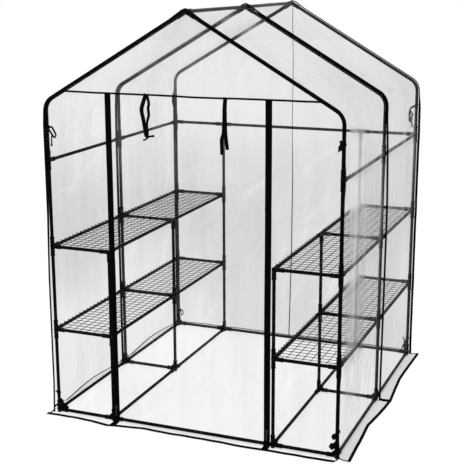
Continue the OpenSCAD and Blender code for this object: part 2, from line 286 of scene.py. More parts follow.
def outwards(part, towards=None):
    """Turns a part's faces so that they point outwards: by the sign of its volume, or for an open
    sheet by the sum of its face areas along towards."""
    verts, quads, ends, uv = part
    a, b, c, d = (verts[quads[:, k]] for k in range(4))
    area = np.cross(c - a, d - b) / 2
    centre = (a + b + c + d) / 4
    if towards is None:
        total = np.sum(area * (centre - verts.mean(0)))
    elif callable(towards):
        total = np.sum(area * towards(centre))
    else:
        total = np.sum(area @ np.asarray(towards, float))
    if total < 0:
        quads, ends = quads[:, ::-1], [e[::-1] for e in ends]
    return verts, quads, ends, uv


def add_piece(name, parts, slot, replaces, finish=None, **values):
    """One object from several parts, with a UV map in metres or shares and, where given, named
    numbers at each point. Its place is in its mesh. finish is a material's name and the function
    that makes it on its first use, and without it the slot's own."""
    base = np.cumsum([0] + [len(part[0]) for part in parts])
    verts = np.concatenate([part[0] for part in parts])
    quads = np.concatenate([part[1] + first for part, first in zip(parts, base)])
    ends = [[k + first for k in end]
            for part, first in zip(parts, base.tolist()) for end in part[2]]
    uv = np.concatenate([part[3] for part in parts])
    mesh = bpy.data.meshes.new(name)
    mesh.from_pydata(verts.tolist(), [], quads.tolist() + ends)
    corner = np.zeros(len(mesh.loops), np.int32)
    mesh.loops.foreach_get("vertex_index", corner)
    mesh.uv_layers.new(name="Surface").data.foreach_set("uv", uv[corner].astype(np.float32).ravel())
    for key, numbers in values.items():
        mesh.attributes.new(key, "FLOAT", "POINT").data.foreach_set(
            "value", np.asarray(numbers, np.float32).ravel())
    mesh.polygons.foreach_set("use_smooth", np.ones(len(mesh.polygons), bool))
    look, make = finish or slot_finish[slot]
    mesh.materials.append(bpy.data.materials.get(look) or make(look))
    piece = bpy.data.objects.new(name, mesh)
    bpy.context.scene.collection.objects.link(piece)
    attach(piece, "root")
    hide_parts(*replaces)
    return piece


def ribbon(path, side, width, thickness, corner=0.35, sections=12):
    """A tape carried along a path. Its section is a rounded rectangle: width/2 times the cosine
    and thickness/2 times the sine of an angle, each raised to the corner power with its sign
    kept. side is the direction of its width; its thickness lies across side and path."""
    path = np.asarray(path, float)
    side = np.broadcast_to(np.asarray(side, float), path.shape)
    ahead = unit(np.gradient(path, axis=0))
    side = unit(side - np.sum(side * ahead, axis=1, keepdims=True) * ahead)
    up = np.cross(ahead, side)
    turn = np.linspace(0, 2 * math.pi, sections, endpoint=False) + math.pi / sections
    a, b = box_wave(np.cos(turn), corner), box_wave(np.sin(turn), corner)
    width, thickness = (np.broadcast_to(np.asarray(size, float), len(path))[:, None, None]
                        for size in (width, thickness))
    points = (path[:, None] + a[None, :, None] * width * side[:, None]
              + b[None, :, None] * thickness * up[:, None])
    return outwards(grid(points, wrap=True, caps=True, across=a + 0.5, along=lengths(path)))


def lump(centre, radii, ridges=3, depth=0.12, rows=12, columns=18):
    """A knot: an ellipsoid whose radius dips by depth along ridges spiral lines, as wound tape."""
    lat = np.linspace(-math.pi / 2 + 0.02, math.pi / 2 - 0.02, rows)[:, None]
    lon = np.linspace(0, 2 * math.pi, columns, endpoint=False)[None, :]
    r = 1 - depth * (0.5 + 0.5 * np.cos(ridges * lat * 2 + lon))
    points = xyz(r * np.cos(lat) * np.cos(lon), r * np.cos(lat) * np.sin(lon), r * np.sin(lat))
    return outwards(grid(np.asarray(centre) + points * np.asarray(radii), wrap=True, caps=True))


# ---- the cover's form ----


def make_section():
    """Half of the tubes' middle line as arc length, x, z and heading. The heading turns from
    level to the roof pitch over the ridge, holds down the slope, turns evenly to vertical round
    the bend and holds down the post. x and z are running sums of its cosine and sine."""
    slope = (post_x - bend_r * (1 - math.sin(pitch))) / math.cos(pitch)
    arc = bend_r * (math.pi / 2 - pitch)
    bend_z = ridge_z - slope * math.sin(pitch) - bend_r * math.cos(pitch)
    s = np.linspace(0, slope + arc + bend_z - hem_z, 6001)
    heading = (pitch * smooth(s / 0.006 + 0.05)
               + (math.pi / 2 - pitch) * np.clip((s - slope) / arc, 0, 1))
    halfway = heading[1:] / 2 + heading[:-1] / 2
    x, z = (np.concatenate([[0], np.cumsum(s[1] * part)])
            for part in (np.cos(halfway), np.sin(halfway)))
    return s, x * post_x / x[-1], hem_z + z[-1] - z, heading, bend_z


section_s, section_x, section_z, section_heading, eave_z = make_section()
half_girth = section_s[-1]
eave_s = np.interp(-eave_z, -section_z, section_s)

# How far the cover stands from the middle of each post at rising heights, from front to rear
reach_z = (0.0, 0.15, 0.7, 1.0, 1.25, 1.42, 1.5)
left_reach = (
    (0.026, 0.021, 0.0205, 0.0135, 0.0135, 0.0135, rest),
    (0.014, 0.015, 0.015, 0.015, 0.015, 0.013, rest),
    (0.012, 0.012, 0.012, 0.012, 0.012, 0.011, rest))
right_reach = (
    (rest, rest, rest, rest, rest, rest, rest),
    (0.0155, 0.016, 0.0195, 0.0205, 0.0147, rest, rest),
    (0.011, 0.011, 0.011, 0.011, 0.011, 0.0105, rest))
left_foot, right_foot = 0.0155, 0.0105   # the same at the ground tubes, between the posts
socket_z = np.array([ground_z + k * (rail_z - ground_z) / 3 for k in range(4)])
socket_length = 0.062
socket_rise = 0.0034             # how much the film rises over a socket
ridge_rise = 0.0022              # and over the ridge tube


def bay(y):
    """Between two arches: the squared sine of the distance along a bay, 0 at the arches."""
    return np.sin(math.pi * np.abs(y) / half_depth) ** 2


def by_arch(y):
    """1 within a socket's length of an arch, falling off to 0."""
    gap = np.minimum(np.abs(y), np.abs(np.abs(y) - post_y))
    return hump(gap, 0, socket_length, 4)


def reach(s, y):
    """How far the cover lies from the tubes' middle line, before its bulges. At each arch it is
    the height's entry of that post, straight lines between the arches join the entries, the film
    rises over the sockets and the ridge, and between the arches it draws in to the ground tube."""
    down = np.abs(s)
    z = np.interp(down, section_s, section_z)
    t = np.abs(y) / half_depth
    lines = [[np.interp(z, reach_z, row) for row in rows] for rows in (left_reach, right_reach)]
    left, right = (rows[1] * (1 - t) + np.where(y < 0, rows[0], rows[2]) * t for rows in lines)
    out = np.where(s < 0, left, right)
    foot = np.where(s < 0, left_foot, right_foot)
    out = out + (foot - out) * smooth((0.16 - z) / 0.15) * (1 - by_arch(y))
    gap = np.min(np.abs(z[..., None] - socket_z), axis=-1)
    over = np.maximum(hump(gap, 0, socket_length, 4) * (down > eave_s),
                      hump(down, 0, socket_length, 4))
    return (np.maximum(out, rest + socket_rise * over * by_arch(y))
            + ridge_rise * hump(down, 0, 0.02))


def cover_offset(s, y):
    """How far the film lies from the tubes' middle line: its reach, a bulge of the wall and a sag
    of the slope between arches, and packing folds that fade at the arches."""
    film = bpy.context.scene.greenhouse_film
    seed = bpy.context.scene.greenhouse_stage.seed
    down = np.abs(s)
    on_wall = smooth((down - eave_s + 0.08) / 0.35)
    low = 1 - 0.8 * smooth((down - half_girth + 0.35) / 0.3)
    on_slope = smooth(down / 0.2) * (1 - smooth((down - eave_s + 0.28) / 0.2))
    free = smooth((half_depth - np.abs(y)) / 0.07) * smooth(np.abs(y) / 0.06)
    lie = waves(s, y, seed, 7, 0.7, 0.16)
    upright = waves(y, 0.12 * s, seed + 1, 6, 0.3, 0.07)
    fold = creases(s, y, seed + 2, 90, (-half_girth, half_girth), depths, 0, 0.35, 0.22, 0.006)
    shoulder = hump(down, eave_s, 0.22)
    pull = sum(creases(s, y, number, 46, (eave - 0.2, eave + 0.2), depths, lean, 0.5, 0.11, 0.006)
               for number, eave, lean in ((seed + 3, -eave_s, 0.6), (seed + 4, eave_s, -0.6)))
    folds = film.fold_height * free * (
        0.55 * lie + 0.5 * upright * on_wall + 0.75 * fold + 0.9 * pull * shoulder)
    return (reach(s, y) + film.wall_bulge * on_wall * low * bay(y)
            - film.roof_sag * on_slope * bay(y) + folds * low)


def on_cover(s, y, lift=0.0):
    """Points on the cover at arc length s from the ridge, right of it where s is positive, and at
    depth y: the tubes' middle line moved along its outward normal by the offset plus lift."""
    s, y = alike(s, y)
    down, hand = np.abs(s), np.where(s < 0, -1.0, 1.0)
    heading = np.interp(down, section_s, section_heading)
    out = cover_offset(s, y) + lift
    return xyz(hand * (np.interp(down, section_s, section_x) + out * np.sin(heading)), y,
               np.interp(down, section_s, section_z) + out * np.cos(heading))


edge_s = np.linspace(0, half_girth, 241)
girth_s = np.concatenate([-edge_s[:0:-1], edge_s])
fold_z = (0, 1.9)                # heights at which the folds of a wall or an end lie


def side_x(z, hand, y):
    """x of the cover's edge on an end at height z: left where hand is -1, right where it is 1."""
    edge = on_cover(hand * np.maximum(edge_s, 1e-6), y)
    return np.interp(z, edge[::-1, 2], edge[::-1, 0])


def end_offset(x, z, rear):
    """How far an end's film stands out from its plane: nothing along its sewn outline, and a
    bulge, rolling waves and fold lines inside it."""
    film = bpy.context.scene.greenhouse_film
    seed = bpy.context.scene.greenhouse_stage.seed + (40 if rear else 20)
    y = half_depth if rear else -half_depth
    room = np.minimum(side_x(z, 1, y) - x, x - side_x(z, -1, y))
    inside = smooth(room / 0.09)
    lie = waves(x, z * 0.5, seed, 7, 0.6, 0.1)
    fold = creases(z, x, seed + 1, 46, fold_z, depths, 0, 0.5, 0.2, 0.006)
    bulge = film.rear_bulge * smooth(room / 0.6) * smooth(z / 0.5 + 0.35) if rear else 0.0
    return bulge + film.fold_height * inside * (0.8 * lie + 0.75 * fold)


def on_end(x, z, rear, lift=0.0):
    """Points on an end's film at x and z, lifted off its outer face."""
    x, z = alike(x, z)
    out = half_depth + end_offset(x, z, rear) + lift
    return xyz(x, out if rear else -out, z)


def end_sheet(left, right, low, high, rear, rows, columns):
    """A sheet of an end between two edges that are functions of height: in each row the points
    are evenly spaced from the left edge to the right one."""
    z = np.linspace(low, high, rows)[:, None]
    share = np.linspace(0, 1, columns)[None, :]
    x = left(z) * (1 - share) + right(z) * share
    return outwards(grid(on_end(x, z, rear)), (0, 1 if rear else -1, 0))


# How much cloudier the film is than its base at rising heights
cloud_z = (0.0, 0.45, 0.8, 1.05, 1.4, 1.7)
clouds = (0.2, 0.16, 0.36, 0.36, 0.04, 0.02)


def cloud_of(verts, seed, base, foot=0.0, head=0.0):
    """How cloudy the film is at each point, 0 to 1, with painted shade and painted highlights in
    it: a base less foot near the ground and less head from 1.1 m up, its height's entry, slow
    waves, and fold lines that lean about the vertical, along which the film is made clearer as
    a painted highlight or cloudier as painted shade."""
    x, y, z = verts.T
    base = base - foot * smooth((0.75 - z) / 0.3) - head * smooth((z - 1.1) / 0.15)
    along = x + y
    # fold lines: where the film is made clearer along them it is a painted highlight, where
    # cloudier it is painted shade
    lines = creases(z, along, seed + 2, 150, fold_z, (-1.4, 1.4), 0.35, 0.5, 0.15, 0.009)
    return np.clip(base + np.interp(z, cloud_z, clouds)
                   + 0.14 * waves(along, z * 0.4, seed, 6, 0.9, 0.12)
                   + 0.07 * waves(x * 1.2 - y * 1.2, z * 0.1, seed + 1, 5, 0.12, 0.03)
                   - 0.18 * lines, 0, 1)


# How milky the right wall is at rising heights
milk_z = (0.0, 0.43, 0.84, 1.1, 1.26, 1.34, 1.5)
milks = (0.1, 0.16, 0.66, 1.45, 1.6, 0.5, 0.0)


def on_right_wall(x):
    """1 on the right wall, falling to 0 at the shoulder."""
    return smooth((x - 0.6) / 0.08)


def pane_of(verts):
    """1 on the part of the right wall that spreads the most light, a quarter of the way back in
    its front bay, from the ground up to the eave, and 0 elsewhere."""
    x, y, z = verts.T
    return (on_right_wall(x) * hump(y, -0.53, 0.12, 4)
            * smooth(z / 0.5) * smooth((1.56 - z) / 0.12))


def milk_of(verts):
    """How milky the cover is, 0 to 1: on the right wall its height's entry and more of it on the
    pane, with upright streaks and little of it by two posts, some along the ridge, and some at
    the head of the right slope's front bay."""
    x, y, z = verts.T
    wall = on_right_wall(x) * np.interp(z, milk_z, milks) * 0.65 + 0.35 * pane_of(verts)
    streaks = 0.8 + 0.5 * waves(y, 0.04 * z, 17, 7, 0.2, 0.02)
    posts = hump(y, -0.03, 0.065) + hump(y, 0.68, 0.065)
    ridge = hump(x, 0, 0.035) * (0.2 + 0.3 * (y > 0)) * bay(y) ** 0.3
    slope = 0.6 * smooth((x - 0.03) / 0.06) * smooth((0.4 - x) / 0.15) * (y < 0) * bay(y)
    return np.clip(wall * streaks * (1 - 0.9 * posts) + np.maximum(ridge, slope), 0, 1)


def milk_on_end(verts, base, head, fold):
    """How milky an end's film is, 0 to 1: a base, head more of it from 1.1 m up, and fold more
    along a soft fold that climbs to the right through the middle of the gable."""
    x, z = verts[:, 0], verts[:, 2]
    across = (z - 1.69) * 0.84 - x * 0.54
    band = hump(across, 0, 0.04) * smooth((x + 0.1) / 0.06)
    return np.clip(base + head * smooth((z - 1.1) / 0.2) + fold * band, 0, 1)


# ---- materials ----


class Nodes:
    """The nodes of a material or world. Each call adds a node and returns an output of it.
    Sockets go by name or number and take a value or another node's output."""

    def __init__(self, owner):
        owner.use_nodes = True
        self.owner, self.tree = owner, owner.node_tree
        self.tree.nodes.clear()

    def add(self, kind, sockets=None, out=0, **settings):
        """Any node; out is the name or number of the output."""
        node = self.tree.nodes.new("ShaderNode" + kind)
        for key, value in settings.items():
            setattr(node, key, value)
        for key, value in (sockets or {}).items():
            if isinstance(value, bpy.types.NodeSocket):
                self.tree.links.new(value, node.inputs[key])
            else:
                node.inputs[key].default_value = value
        return node.outputs[out] if node.outputs else None

    def math(self, operation, *values):
        """A sum or function of the values."""
        return self.add("Math", dict(enumerate(values)), operation=operation)

    def noise(self, vector, scale, detail, **more):
        """Noise in patches of about 1 over scale."""
        return self.add("TexNoise", {"Vector": vector, "Scale": scale, "Detail": detail, **more})

    def span(self, value, *ends, **settings):
        """value carried over from between the first two ends to between the last two."""
        return self.add("MapRange", dict(enumerate((value, *ends))), **settings)

    def bump(self, strength, distance, height, **more):
        """A normal tilted by height."""
        return self.add("Bump", {"Strength": strength, "Distance": distance, "Height": height,
                                 **more})

    def tone(self, share, first, second):
        """A colour between two."""
        return self.add("Mix", {0: share, 6: first, 7: second}, 2, data_type="RGBA")

    def blend(self, share, first, second):
        """A shader between two."""
        return self.add("MixShader", {0: share, 1: first, 2: second})

    def seen(self):
        """1 for rays that see, mirror or pass glass, and 0 for rays that light."""
        rays = self.add("LightPath").node.outputs
        seen = self.math("MAXIMUM", rays["Is Camera Ray"], rays["Is Glossy Ray"])
        return self.math("MAXIMUM", seen, rays["Is Transmission Ray"])

    def done(self, shader):
        """The material with its surface."""
        self.add("OutputMaterial", {"Surface": shader})
        return self.owner


def paler(colour, times):
    """A colour times as bright, and opaque."""
    return (*(min(1.0, times * c) for c in colour[:3]), 1)


def film_material(name):
    """Clear soft film: a tinted see-through layer that turns cloudier and darker with its cloud and
    shade attribute, which holds painted shade and painted highlights as well as the film's own
    cloudiness, rough refraction that blurs what is far behind it by the blur attribute, milky
    fold lines, a veil by the milk attribute and a soft gloss."""
    film = bpy.context.scene.greenhouse_film
    nodes = Nodes(bpy.data.materials.new(name))
    place = nodes.add("TexCoord", out="Object")
    stretched = nodes.add("Mapping", {0: place, "Scale": (1, 1, 0.35)})
    crinkle = nodes.noise(stretched, 7.0, 3.0, Roughness=0.5, Distortion=0.8)
    line = nodes.math("ABSOLUTE", nodes.math("SUBTRACT", crinkle, 0.5))
    line = nodes.span(line, 0.0, 0.035, 1.0, 0.0, interpolation_type="SMOOTHSTEP")
    patch = nodes.span(nodes.noise(place, 3.1, 1.0), 0.42, 0.68, 0.0, 1.0)
    grain = nodes.noise(place, 45.0, 4.0)
    folds = nodes.math("MULTIPLY", nodes.math("MULTIPLY", line, patch), grain)
    coarse = nodes.bump(0.6, 0.0015, crinkle)
    fine = nodes.bump(0.35, 0.0004, grain, Normal=coarse)
    cloud, milk, blur = (nodes.add("Attribute", out="Fac", attribute_name=key)
                         for key in ("cloud", "milk", "blur"))
    # the tint darkens with the cloud and shade attribute: the film's cloudiness, painted shade and
    # painted highlights
    colour = nodes.tone(cloud, tuple(film.tint), tuple(film.dense_tint))
    clear = nodes.add("BsdfTransparent", {"Color": colour})
    blurred = nodes.add("BsdfRefraction", {"Color": colour, "Roughness": 0.6, "IOR": 1.02,
                                           "Normal": coarse})
    body = nodes.blend(nodes.math("ADD", blur, film.haze), clear, blurred)
    streak = nodes.add("Mapping", {0: place, "Scale": (9, 60, 1.2)})
    streak = nodes.noise(streak, 1.0, 3.0, Roughness=0.6, Distortion=0.4)
    streak = nodes.math("MULTIPLY", nodes.span(streak, 0.35, 0.7, 0.12, 0.42), milk)
    veil = nodes.math("ADD", nodes.math("MULTIPLY_ADD", folds, 0.05, 0.0008), streak)
    scatter = nodes.add("BsdfTranslucent", {"Color": (0.95, 0.955, 0.96, 1), "Normal": fine})
    gloss = nodes.add("BsdfAnisotropic", {"Color": (1, 1, 1, 1), "Roughness": 0.14,
                                          "Normal": fine})
    facing = nodes.add("LayerWeight", {"Blend": 0.5, "Normal": fine}, "Facing")
    mirror = nodes.math("MULTIPLY_ADD", nodes.math("POWER", facing, 5.0), 0.06, 0.0015)
    return nodes.done(nodes.blend(mirror, nodes.blend(veil, body, scatter), gloss))


def tape_material(name):
    """Black woven tape: threads as two sets of waves that cross, paler threads and worn patches,
    and a fuzz that varies the surface and its roughness."""
    nodes = Nodes(bpy.data.materials.new(name))
    place = nodes.add("TexCoord", out="Object")
    weave = nodes.math("MULTIPLY", *(
        nodes.add("TexWave", {"Vector": place, "Scale": 420.0, "Distortion": 0.6}, "Fac",
                  bands_direction=way) for way in ("Z", "DIAGONAL")))
    fuzz = nodes.noise(place, 260.0, 3.0)
    worn = nodes.span(nodes.noise(place, 14.0, 3.0), 0.45, 0.75, 0.0, 1.0)
    base = tuple(bpy.context.scene.greenhouse_tape.colour)
    pale = paler(base, 2.6)
    bump = nodes.bump(0.3, 0.0003, fuzz, Normal=nodes.bump(0.5, 0.0003, weave))
    return nodes.done(nodes.add("BsdfPrincipled", {
        "Base Color": nodes.tone(worn, nodes.tone(weave, base, pale), pale),
        "Roughness": nodes.span(fuzz, 0.3, 0.7, 0.62, 0.82),
        "Specular IOR Level": 0.02, "Normal": bump}))


def coat_material(name, colour, roughness, peel, peel_height, fleck, coat=0.0):
    """A dark coat on metal or moulded plastic: an even colour with slow patches and pale flecks,
    a fine peel in the surface and a roughness that varies with the patches."""
    nodes = Nodes(bpy.data.materials.new(name))
    place = nodes.add("TexCoord", out="Object")
    grain = nodes.noise(place, peel, 3.0)
    patch = nodes.noise(place, 9.0, 4.0)
    dust = nodes.span(nodes.noise(place, 180.0, 2.0), 0.66, 0.74, 0.0, fleck)
    tone = nodes.tone(patch, tuple(colour), paler(colour, 1.9))
    return nodes.done(nodes.add("BsdfPrincipled", {
        "Base Color": nodes.tone(dust, tone, paler(colour, 8)),
        "Roughness": nodes.span(patch, 0.3, 0.7, roughness - 0.06, roughness + 0.08),
        "Normal": nodes.bump(0.4, peel_height, grain),
        "Specular IOR Level": 0.03, "Coat Weight": coat, "Coat Roughness": 0.3}))


def slider_material(name):
    """Painted black metal of the zip sliders."""
    return coat_material(name, (0.012, 0.012, 0.013, 1), 0.32, 700.0, 0.0001, 0.4, 0.3)


# Each slot's material and the function that makes it
slot_finish = {"clear_film": ("creased_film", film_material),
               "black_tape": ("woven_tape", tape_material)}


# ---- pieces ----


class GREENHOUSE_OT_cover(bpy.types.Operator):
    """Walls, shoulders and roof as one sheet of film laid over the arches"""

    bl_idname = "greenhouse.cover"
    bl_label = "Cover"

    def execute(self, context):
        across = np.linspace(*depths, 171)
        points = on_cover(girth_s[:, None], across)
        heart = np.array([0, 0, 0.8])
        part = outwards(grid(points, across=across, along=girth_s),
                        lambda centre: (centre - heart) * (1, 0, 1))
        verts, down = part[0], np.abs(part[3][:, 1])
        x, y, z = verts.T
        shoulder_lines = creases(down, part[3][:, 0], 27, 70, (eave_s - 0.3, eave_s + 0.25),
                                 depths, -0.6, 0.7, 0.13, 0.007)
        wall_lines = creases(z, y, 31, 90, (0.22, 0.98), (-0.66, -0.1), 0.0, 0.16, 0.13, 0.011)
        # cloudier to the right and on the right slope, as painted shade on the side away from the
        # key lamp; cloudier along both sets of folds, as painted shade in the creases; and clearer
        # low on the left, as painted light from the key lamp
        cloud = cloud_of(verts, 3, 0.06) + 0.39 * smooth(x / 0.8)
        cloud += 0.22 * np.abs(shoulder_lines)
        cloud += 0.09 * smooth((x - 0.1) / 0.1) * smooth((z - 1.45) / 0.1)
        cloud -= 0.2 * (x < 0) * smooth((0.75 - z) / 0.3)
        cloud += 0.75 * np.abs(wall_lines) * on_right_wall(x)
        milk = milk_of(verts)
        cover = add_piece("film_cover", [part], "clear_film",
                          ("left_wall", "right_wall", "shoulders", "left_roof", "right_roof"),
                          cloud=np.clip(cloud, 0, 1), milk=milk,
                          blur=np.clip(0.3 * milk + 0.5 * pane_of(verts), 0, 1))
        around = on_cover(girth_s, 0.0)
        return {"FINISHED"}


class GREENHOUSE_OT_ends(bpy.types.Operator):
    """Rear wall, gable, the two panels beside the door and the door itself"""

    bl_idname = "greenhouse.ends"
    bl_label = "End walls and door"

    def execute(self, context):
        top = on_cover(0.0, half_depth)[2] - 0.001
        rear_edges, front_edges = (
            [lambda z, hand=hand, y=y: side_x(z, hand, y) for hand in (-1, 1)]
            for y in (half_depth, -half_depth))
        zips = [lambda z, x=x: x + 0 * z for x in (-zip_x, zip_x)]
        clear = (0.0, 0.0, 0.0)
        # name, node, edges, lowest and highest z, rear, rows and columns, then cloud and painted
        # shade, milk, blur
        for name, node, edges, (low, high), rear, counts, cloud, milk, blur in (
                ("rear_film", "rear_wall", rear_edges, (hem_z, top),
                 True, (231, 161), (0.08, 0.0, 0.12), clear, 0.0),
                ("gable_film", "front_gable", front_edges, (seam_z, top),
                 False, (61, 161), (0.1, 0.0, 0.0), (0.3, 0.0, 0.1), 0.1),
                ("left_front_film", "front_left_panel", (front_edges[0], zips[0]),
                 (hem_z, seam_z), False, (221, 51), (0.12, 0.26, 0.1), clear, 0.0),
                ("right_front_film", "front_right_panel", (zips[1], front_edges[1]),
                 (hem_z, seam_z), False, (221, 51), (0.1, 0.0, -0.12), (0.0, 0.1, 0.0), 0.0),
                ("door_film", "door_panel", zips, (hem_z, seam_z),
                 False, (221, 101), (0.06, 0.0, 0.18), (0.018, 0.16, 0.0), 0.02)):
            part = end_sheet(*edges, low, high, rear, *counts)
            z = np.linspace(low, high, 400)
            wide = edges[1](z) - edges[0](z)
            piece = add_piece(name, [part], "clear_film", (node,),
                              cloud=cloud_of(part[0], sum(counts), *cloud),
                              milk=milk_on_end(part[0], *milk),
                              blur=np.full(len(part[0]), blur))
        return {"FINISHED"}


# How far out each hem lies from its drawn place, at places along its wall
hem_sway = {
    "right": ((-0.71, 0.0), (-0.52, -0.008), (-0.33, -0.018), (-0.2, -0.004), (0.0, 0.011),
              (0.19, -0.004), (0.31, -0.013), (0.57, -0.008), (0.74, -0.003)),
    "front": ((-0.74, -0.013), (-0.5, -0.008), (-0.4, 0.011), (-0.36, 0.003), (-0.22, -0.018),
              (0.05, -0.012), (0.32, -0.009), (0.7, -0.014)),
    "rear": ((-0.7, -0.010), (-0.3, -0.003), (0.1, -0.012), (0.5, -0.004), (0.7, -0.009))}
# How far the two ends of each flap run on past its wall at the hem
hem_ends = {"right": (0.009, 0.005), "front": (0.014, -0.014), "rear": (-0.006, -0.008)}


def flap_points(name, run, out, lift=0.0):
    """Points on a flap that lies on the ground: run is x or y along its wall, and out goes from
    the wall to the hem as 0 to 1. The hem's distance joins its entries by straight lines, its ends
    run on in the eighth power of the share along it, it curves up to the wall as exp(-9 out), and
    it lifts off the ground in slow waves."""
    run, out = alike(run, out)
    share = np.clip(run / half_depth, -1, 1)
    places, sway = np.transpose(hem_sway[name])
    wall = on_cover(half_girth, run)[..., 0] if name == "right" else half_depth
    hem = hem_x + np.interp(run, places, sway)
    away = wall + 0.0005 + out * (hem - wall)
    low, high = hem_ends[name]
    run = run + out * (high * ((1 + share) / 2) ** 8 - low * ((1 - share) / 2) ** 8)
    rise = 0.0045 * (0.55 + 0.45 * waves(run, 0 * run, 60 + len(name), 7, 0.34, 0.06))
    z = 0.0012 + 0.011 * np.exp(-out * 9) + rise * out ** 1.5 + lift
    if name == "right":
        return xyz(away, run, z)
    return xyz(run, away if name == "rear" else -away, z)


def tucked_points(run, out, lean=0.0):
    """Points on the left flap, which is tucked in: from the foot of the wall it dips under the
    ground tube and stands up between the wall and the tube. Its height is greatest in the middle
    of each bay, and its upper edge leans over the tube there by lean."""
    run, out = alike(run, out)
    foot = on_cover(-half_girth, run)[..., 0]
    free = 1 - by_arch(run)
    base, top = 0.0018, 0.026 + 0.021 * bay(run) * free
    x = foot + 0.0012 + (0.0075 * np.sin(math.pi * np.clip(out / 0.4, 0, 1)) + lean * out) * free
    return xyz(x, run, base + np.clip((out - 0.15) / 0.85, 0, 1) * (top - base))


class GREENHOUSE_OT_flaps(bpy.types.Operator):
    """Ground flaps along the four walls with their hems, the left one tucked in"""

    bl_idname = "greenhouse.flaps"
    bl_label = "Ground flaps"

    def execute(self, context):
        tape = context.scene.greenhouse_tape
        runs = {"right": depths}
        for name, y in (("front", -half_depth), ("rear", half_depth)):
            runs[name] = tuple(float(side_x(hem_z, hand, y)) for hand in (-1, 1))
        for name, ends in runs.items():
            run = np.linspace(*ends, 241)
            part = grid(flap_points(name, run[:, None], np.linspace(0, 1, 15)))
            inward = flap_points(name, run, 0.85) - flap_points(name, run, 1.0)
            inward = unit(unit(inward * (1, 1, 0)) + (0, 0, 0.22))
            hem = flap_points(name, run, 1.0, hem_lift) + inward * tape.hem_width / 2
            hem = [ribbon(hem, inward, tape.hem_width, hem_gauge)]
            along = (0, 1, 0) if name == "right" else (1, 0, 0)
            for end in ends:
                side = flap_points(name, end, np.linspace(0.05, 0.97, 12), hem_lift)
                hem.append(ribbon(side, along, *side_hem))
            self.sewn(name, outwards(part, (0, 0, 1)), hem)
        run = np.linspace(*depths, 241)
        part = grid(tucked_points(run[:, None], np.linspace(0, 1, 21), 0.006))
        hem = (tucked_points(run, 1.0, 0.006) + tucked_points(run, 1.0, 0.012)) / 2
        arch = by_arch(run)[:, None]
        level = (1 - arch) * (1, 0, 0.25) + arch * (0, 0, 1)
        self.sewn("left", outwards(part, (1, 0, 0)),
                  [ribbon(hem, level, 0.7 * tape.hem_width, 0.0016)])
        return {"FINISHED"}

    def sewn(self, name, part, hem):
        # the right flap is made much cloudier than the others, which paints shade on it
        flap = add_piece(name + "_flap", [part], "clear_film", ("skirts",),
                         cloud=cloud_of(part[0], 11, 0.7 if name == "right" else -0.06))
        hem = add_piece(name + "_hem", hem, "black_tape", ("skirt_hems",))


class GREENHOUSE_OT_tapes(bpy.types.Operator):
    """Sewn tapes along the front, middle and rear of the cover, over the door and down the rear"""

    bl_idname = "greenhouse.tapes"
    bl_label = "Sewn tapes"

    def execute(self, context):
        tape = context.scene.greenhouse_tape
        s, gauge = girth_s, tape.thickness
        out = on_cover(s, 0.0, 1.0) - on_cover(s, 0.0)
        height = np.interp(np.abs(s), section_s, section_z)
        leg = 0.0086 + 0.004 * smooth((height - 0.8) / 0.3)
        fin = 0.005 + 0.007 * smooth((np.abs(s) - eave_s) / 0.1)
        for name, end, deep, lift, proud, width in (
                ("front", -1, leg, 0.0005 - leg / 2, 0.0013, 0.02),
                ("rear", 1, fin, fin / 2 - 0.001, 0.0011, 0.018)):
            path = on_cover(s, end * half_depth, lift)
            path[:, 1] += end * proud
            flat = on_cover(s, end * (half_depth - flat_width / 2), flat_lift)
            self.sew(name + "_tape", [ribbon(path, out, deep, gauge),
                                      ribbon(flat, (0, 1, 0), flat_width, gauge)],
                     name + "_binding", width, 2 * half_girth)
        thin = smooth(-s / 0.05) * smooth((eave_s + s) / 0.1)
        bulk = 0.0052 - 0.0036 * thin + 0.0016 * smooth((s - eave_s) / 0.15)
        path = on_cover(s, 0.0, 0.0007 + bulk / 2)
        tail = flap_points("right", 0.0, np.linspace(0.1, 0.96, 12), flap_lift)
        path = np.concatenate([path, tail])
        bulk = np.append(bulk, np.full(len(tail), bulk[-1]))
        width = tape.middle_width * np.append(1 - 0.35 * thin, np.ones(len(tail)))
        self.sew("middle_tape", [ribbon(path, (0, 1, 0), width, bulk)],
                 "middle_binding", tape.middle_width, lengths(path)[-1])
        x = np.linspace(seam_low.x, seam_high.x, 121)
        sag = 0.0025 * (1 - (x / seam_high.x) ** 2) + 0.0012 * waves(x, 0 * x, 5, 5, 0.5, 0.12)
        path = on_end(x, seam_z - sag, False, seam_lift)
        self.sew("door_seam_tape", [ribbon(path, (0, 0, 1), door_seam_width, gauge)],
                 "door_seam", door_seam_width, seam_high.x - seam_low.x)
        z = np.linspace(hem_z, on_cover(0.0, half_depth)[2] - 0.01, 181)
        path = on_end(0.004 * waves(z, 0 * z, 9, 5, 1.2, 0.3), z, True, seam_lift)
        width = seam_width * (0.9 - 0.35 * smooth((z - 0.9) / 0.3))
        self.sew("rear_seam_tape", [ribbon(path, (1, 0, 0), width, gauge)],
                 "rear_seam", seam_width, z[-1] - z[0])
        return {"FINISHED"}

    def sew(self, name, parts, node, width, length):
        piece = add_piece(name, parts, "black_tape", (node,))


def zip_path(x, lift):
    """The line of a zip: down the front film at x, round a bend of 18 mm at the foot, and out
    over the front flap."""
    z = np.linspace(seam_z - seam_width / 2, 0.02, 260)
    wall = on_end(x, z, False, lift)
    turn = np.linspace(0.05, math.pi / 2 - 0.1, 10)
    foot = flap_points("front", x, np.linspace(0.30, 0.99, 14), lift + 0.0026)
    start, end = wall[-1], foot[0]
    bend = xyz(x, start[1] + (end[1] - start[1]) * (1 - np.cos(turn)),
               end[2] + (start[2] - end[2]) * (1 - np.sin(turn)))
    return np.concatenate([wall, bend, foot])


